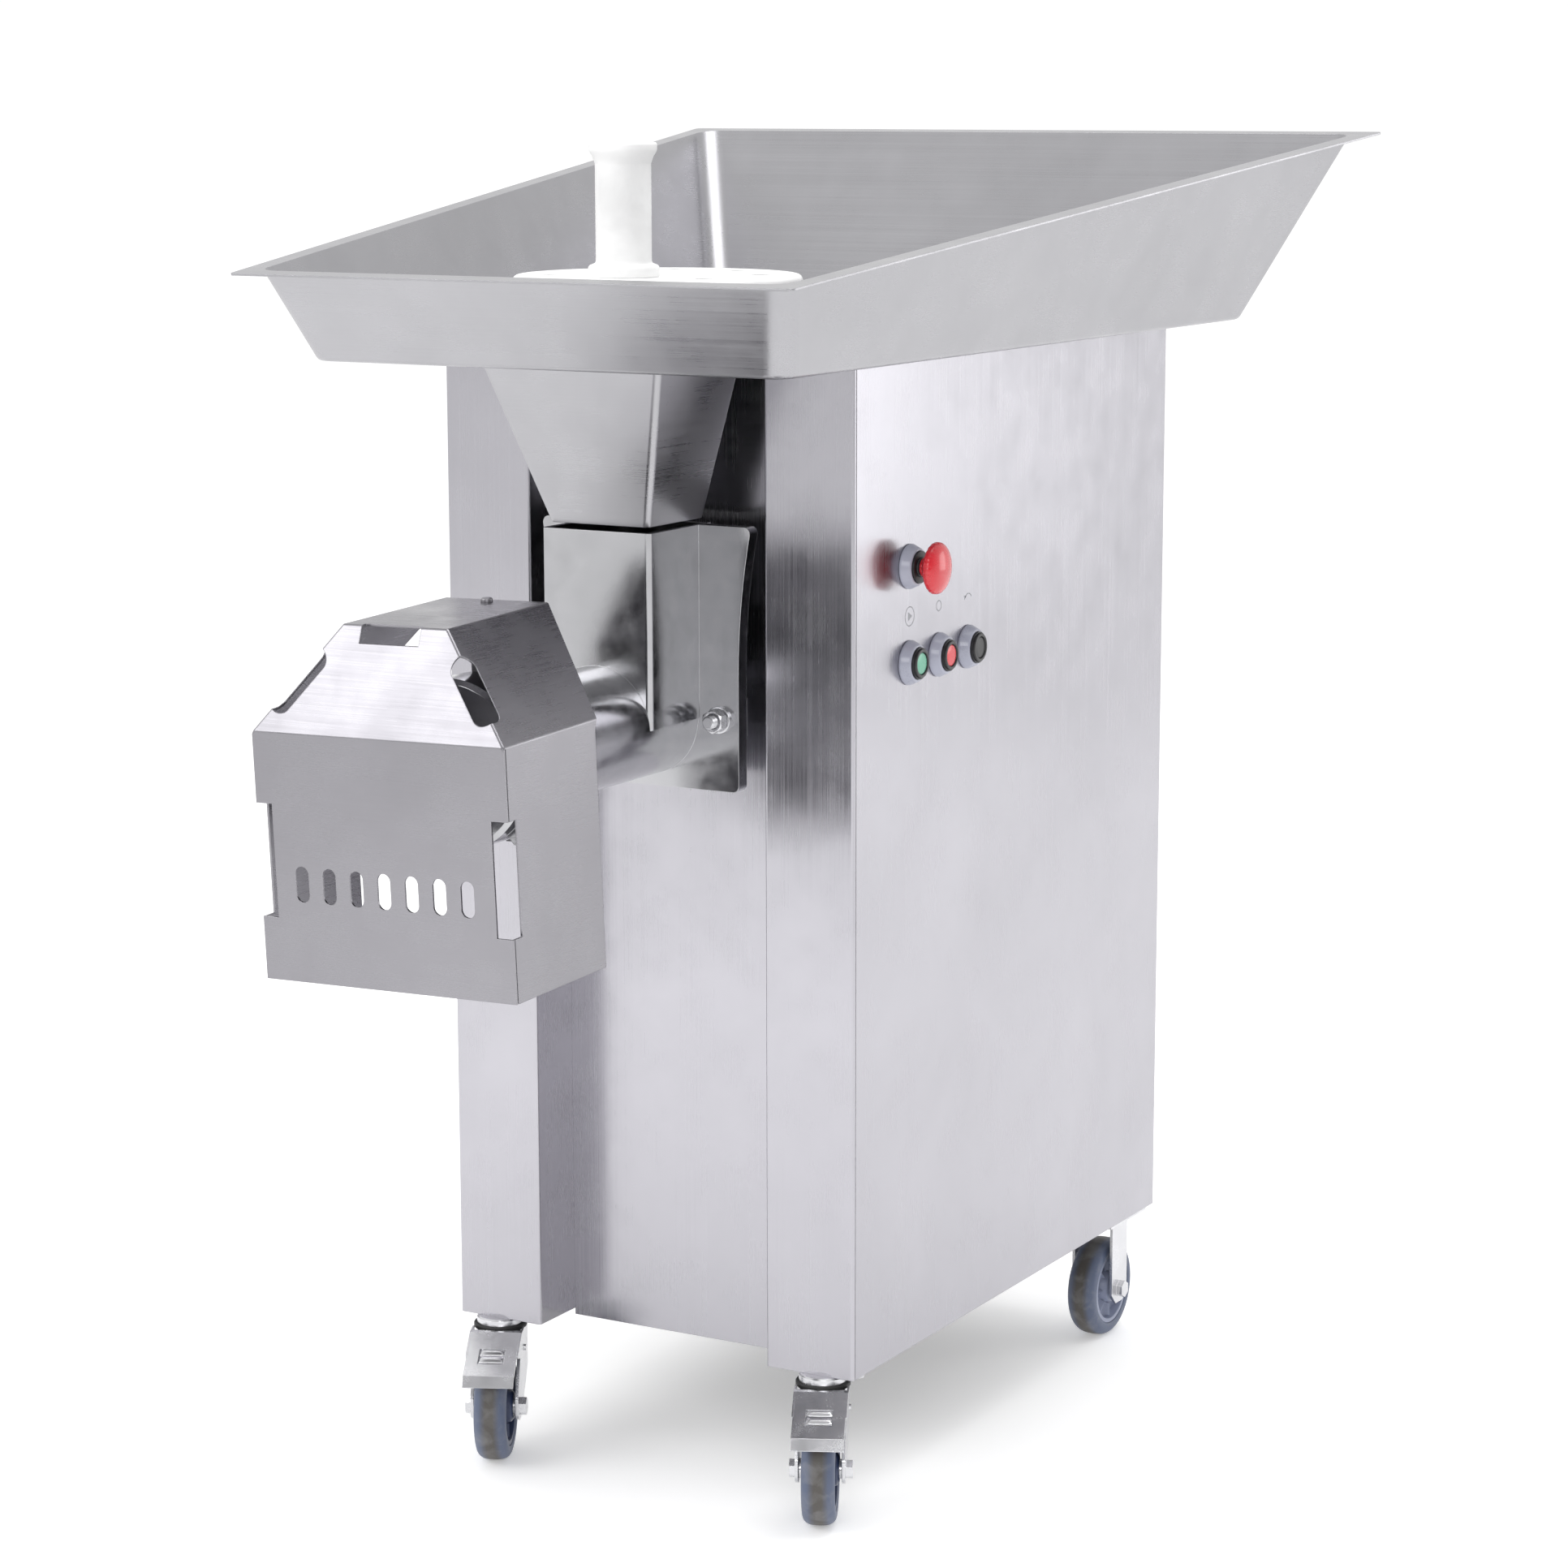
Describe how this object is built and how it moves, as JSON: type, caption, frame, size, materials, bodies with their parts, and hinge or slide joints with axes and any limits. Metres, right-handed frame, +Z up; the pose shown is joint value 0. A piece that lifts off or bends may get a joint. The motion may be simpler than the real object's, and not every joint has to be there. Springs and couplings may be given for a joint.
{
  "type": "electric meat grinder",
  "caption": "Floor-standing electric meat grinder: stainless cabinet on casters, wide feed tray with pusher, worm-fed mincing head, hinged outlet guard and side push buttons.",
  "frame": {"origin": "on the floor under the middle of the machine's outline", "axes": "+Z up, +X to the control side, -Y to the front, where the mincing head is"},
  "size_m": [0.7824, 1.1628, 1.217],
  "materials": {
    "cabinet_steel": "satin stainless sheet",
    "hopper_steel": "fine ground stainless sheet",
    "guard_steel": "satin stainless sheet",
    "frame_steel": "plain stainless section",
    "head_steel": "polished stainless casting",
    "cutting_steel": "ground tool steel",
    "gear_steel": "machined alloy steel",
    "fastener_steel": "turned stainless",
    "zinc_steel": "bright zinc plate",
    "gearbox_cast": "painted casting",
    "motor_alloy": "die cast",
    "white_plastic": "machined polyethylene",
    "black_plastic": "moulded",
    "bezel_plastic": "metallic grey moulded",
    "red_plastic": "moulded",
    "green_plastic": "moulded",
    "grey_plastic": "moulded",
    "seal_rubber": "moulded",
    "tyre_rubber": "non-marking grey",
    "hub_blue": "moulded",
    "hub_pale": "moulded"
  },
  "bodies": {
    "root": {"front_post_left": "cabinet_steel", "front_post_right": "cabinet_steel", "side_panel_left": "cabinet_steel", "side_panel_right": "cabinet_steel", "recess_panel": "cabinet_steel", "top_deck": "cabinet_steel", "rear_panel": "cabinet_steel", "hopper_tray": "hopper_steel", "hopper_funnel": "hopper_steel", "disc_posts": "hopper_steel", "guard_bracket": "guard_steel", "base_frame": "frame_steel", "mounting_flange": "frame_steel", "head_housing": "head_steel", "head_lock_bolts": "head_steel", "kidney_plate": "cutting_steel", "mincing_plate": "cutting_steel", "shaft_bearings": "gear_steel", "panel_screws": "fastener_steel", "front_caster_stems": "zinc_steel", "rear_caster_brackets": "zinc_steel", "gearbox_housing": "gearbox_cast", "gearbox_cover": "gearbox_cast", "motor_housing": "motor_alloy", "motor_end_covers": "motor_alloy", "feed_disc": "white_plastic", "button_collars": "black_plastic", "contact_blocks": "black_plastic", "cable_gland": "black_plastic", "button_bezels": "bezel_plastic", "electrical_box": "grey_plastic", "shaft_seal": "seal_rubber"},
    "guard": {"guard_shell": "guard_steel", "guard_hinge_leaf": "guard_steel"},
    "pusher": {"pusher": "white_plastic"},
    "drive_line": {"worm": "head_steel", "knife": "cutting_steel", "output_shaft": "gear_steel", "drive_gear": "gear_steel"},
    "motor_line": {"motor_rotor": "gear_steel", "pinion": "gear_steel", "motor_fan": "black_plastic"},
    "ring_nut": {"ring_nut": "head_steel"},
    "estop_plunger": {"estop_plunger": "black_plastic"},
    "estop_mushroom": {"estop_mushroom": "red_plastic"},
    "start_button": {"start_button": "green_plastic"},
    "stop_button": {"stop_button": "red_plastic"},
    "reverse_button": {"reverse_button": "black_plastic"},
    "caster_left": {"caster_fork_left": "zinc_steel"},
    "brake_left": {"brake_pedal_left": "zinc_steel"},
    "wheel_front_left": {"tyre_front_left": "tyre_rubber", "hub_front_left": "hub_blue"},
    "wheel_rear_left": {"tyre_rear_left": "tyre_rubber", "hub_rear_left": "hub_pale"},
    "caster_right": {"caster_fork_right": "zinc_steel"},
    "brake_right": {"brake_pedal_right": "zinc_steel"},
    "wheel_front_right": {"tyre_front_right": "tyre_rubber", "hub_front_right": "hub_blue"},
    "wheel_rear_right": {"tyre_rear_right": "tyre_rubber", "hub_rear_right": "hub_pale"}
  },
  "joints": [
    {"name": "worm_spin", "type": "hinge", "parent": "root", "child": "drive_line", "pos_m": [0, -0.26974, 0.714], "axis": [0, 1, 0], "continuous": true},
    {"name": "motor_spin", "type": "hinge", "parent": "root", "child": "motor_line", "pos_m": [0, 0.03026, 0.6015], "axis": [0, 1, 0], "continuous": true},
    {"name": "ring_nut_turn", "type": "hinge", "parent": "root", "child": "ring_nut", "pos_m": [0, -0.45174, 0.714], "axis": [0, 1, 0], "range_deg": [0, 720]},
    {"name": "guard_lift", "type": "hinge", "parent": "root", "child": "guard", "pos_m": [-0.00259, -0.40574, 0.82797], "axis": [-0.9997, 0, -0.0227], "range_deg": [0, 90]},
    {"name": "pusher_lift", "type": "slide", "parent": "root", "child": "pusher", "axis": [0, 0, 1], "range_m": [0, 0.22]},
    {"name": "estop_press", "type": "slide", "parent": "root", "child": "estop_plunger", "axis": [-1, 0, 0], "range_m": [0, 0.005]},
    {"name": "estop_twist", "type": "hinge", "parent": "estop_plunger", "child": "estop_mushroom", "pos_m": [0.234, -0.06774, 0.847], "axis": [1, 0, 0], "range_deg": [0, 30], "stiffness_Nm_per_rad": 0.05},
    {"name": "start_press", "type": "slide", "parent": "root", "child": "start_button", "axis": [-1, 0, 0], "range_m": [0, 0.0038], "stiffness_N_per_m": 400},
    {"name": "stop_press", "type": "slide", "parent": "root", "child": "stop_button", "axis": [-1, 0, 0], "range_m": [0, 0.0038], "stiffness_N_per_m": 400},
    {"name": "reverse_press", "type": "slide", "parent": "root", "child": "reverse_button", "axis": [-1, 0, 0], "range_m": [0, 0.0038], "stiffness_N_per_m": 400},
    {"name": "swivel_left", "type": "hinge", "parent": "root", "child": "caster_left", "pos_m": [-0.1734, -0.15834, 0.1], "axis": [0, 0, 1], "continuous": true},
    {"name": "front_wheel_left_spin", "type": "hinge", "parent": "caster_left", "child": "wheel_front_left", "pos_m": [-0.1579, -0.19083, 0.05], "axis": [0.9026, 0.4305, 0], "continuous": true},
    {"name": "rear_wheel_left_spin", "type": "hinge", "parent": "root", "child": "wheel_rear_left", "pos_m": [-0.1757, 0.42226, 0.05], "axis": [1, 0, 0], "continuous": true},
    {"name": "brake_left_press", "type": "hinge", "parent": "caster_left", "child": "brake_left", "pos_m": [-0.16737, -0.17097, 0.1], "axis": [0.9026, 0.4305, 0], "range_deg": [0, 8]},
    {"name": "swivel_right", "type": "hinge", "parent": "root", "child": "caster_right", "pos_m": [0.1734, -0.15834, 0.1], "axis": [0, 0, 1], "continuous": true},
    {"name": "front_wheel_right_spin", "type": "hinge", "parent": "caster_right", "child": "wheel_front_right", "pos_m": [0.1889, -0.19083, 0.05], "axis": [0.9026, 0.4305, 0], "continuous": true},
    {"name": "rear_wheel_right_spin", "type": "hinge", "parent": "root", "child": "wheel_rear_right", "pos_m": [0.1757, 0.42226, 0.05], "axis": [1, 0, 0], "continuous": true},
    {"name": "brake_right_press", "type": "hinge", "parent": "caster_right", "child": "brake_right", "pos_m": [0.17943, -0.17097, 0.1], "axis": [0.9026, 0.4305, 0], "range_deg": [0, 8]}
  ],
  "couplings": [
    {"joint": "motor_spin", "follows": "worm_spin", "ratio": -4}
  ]
}
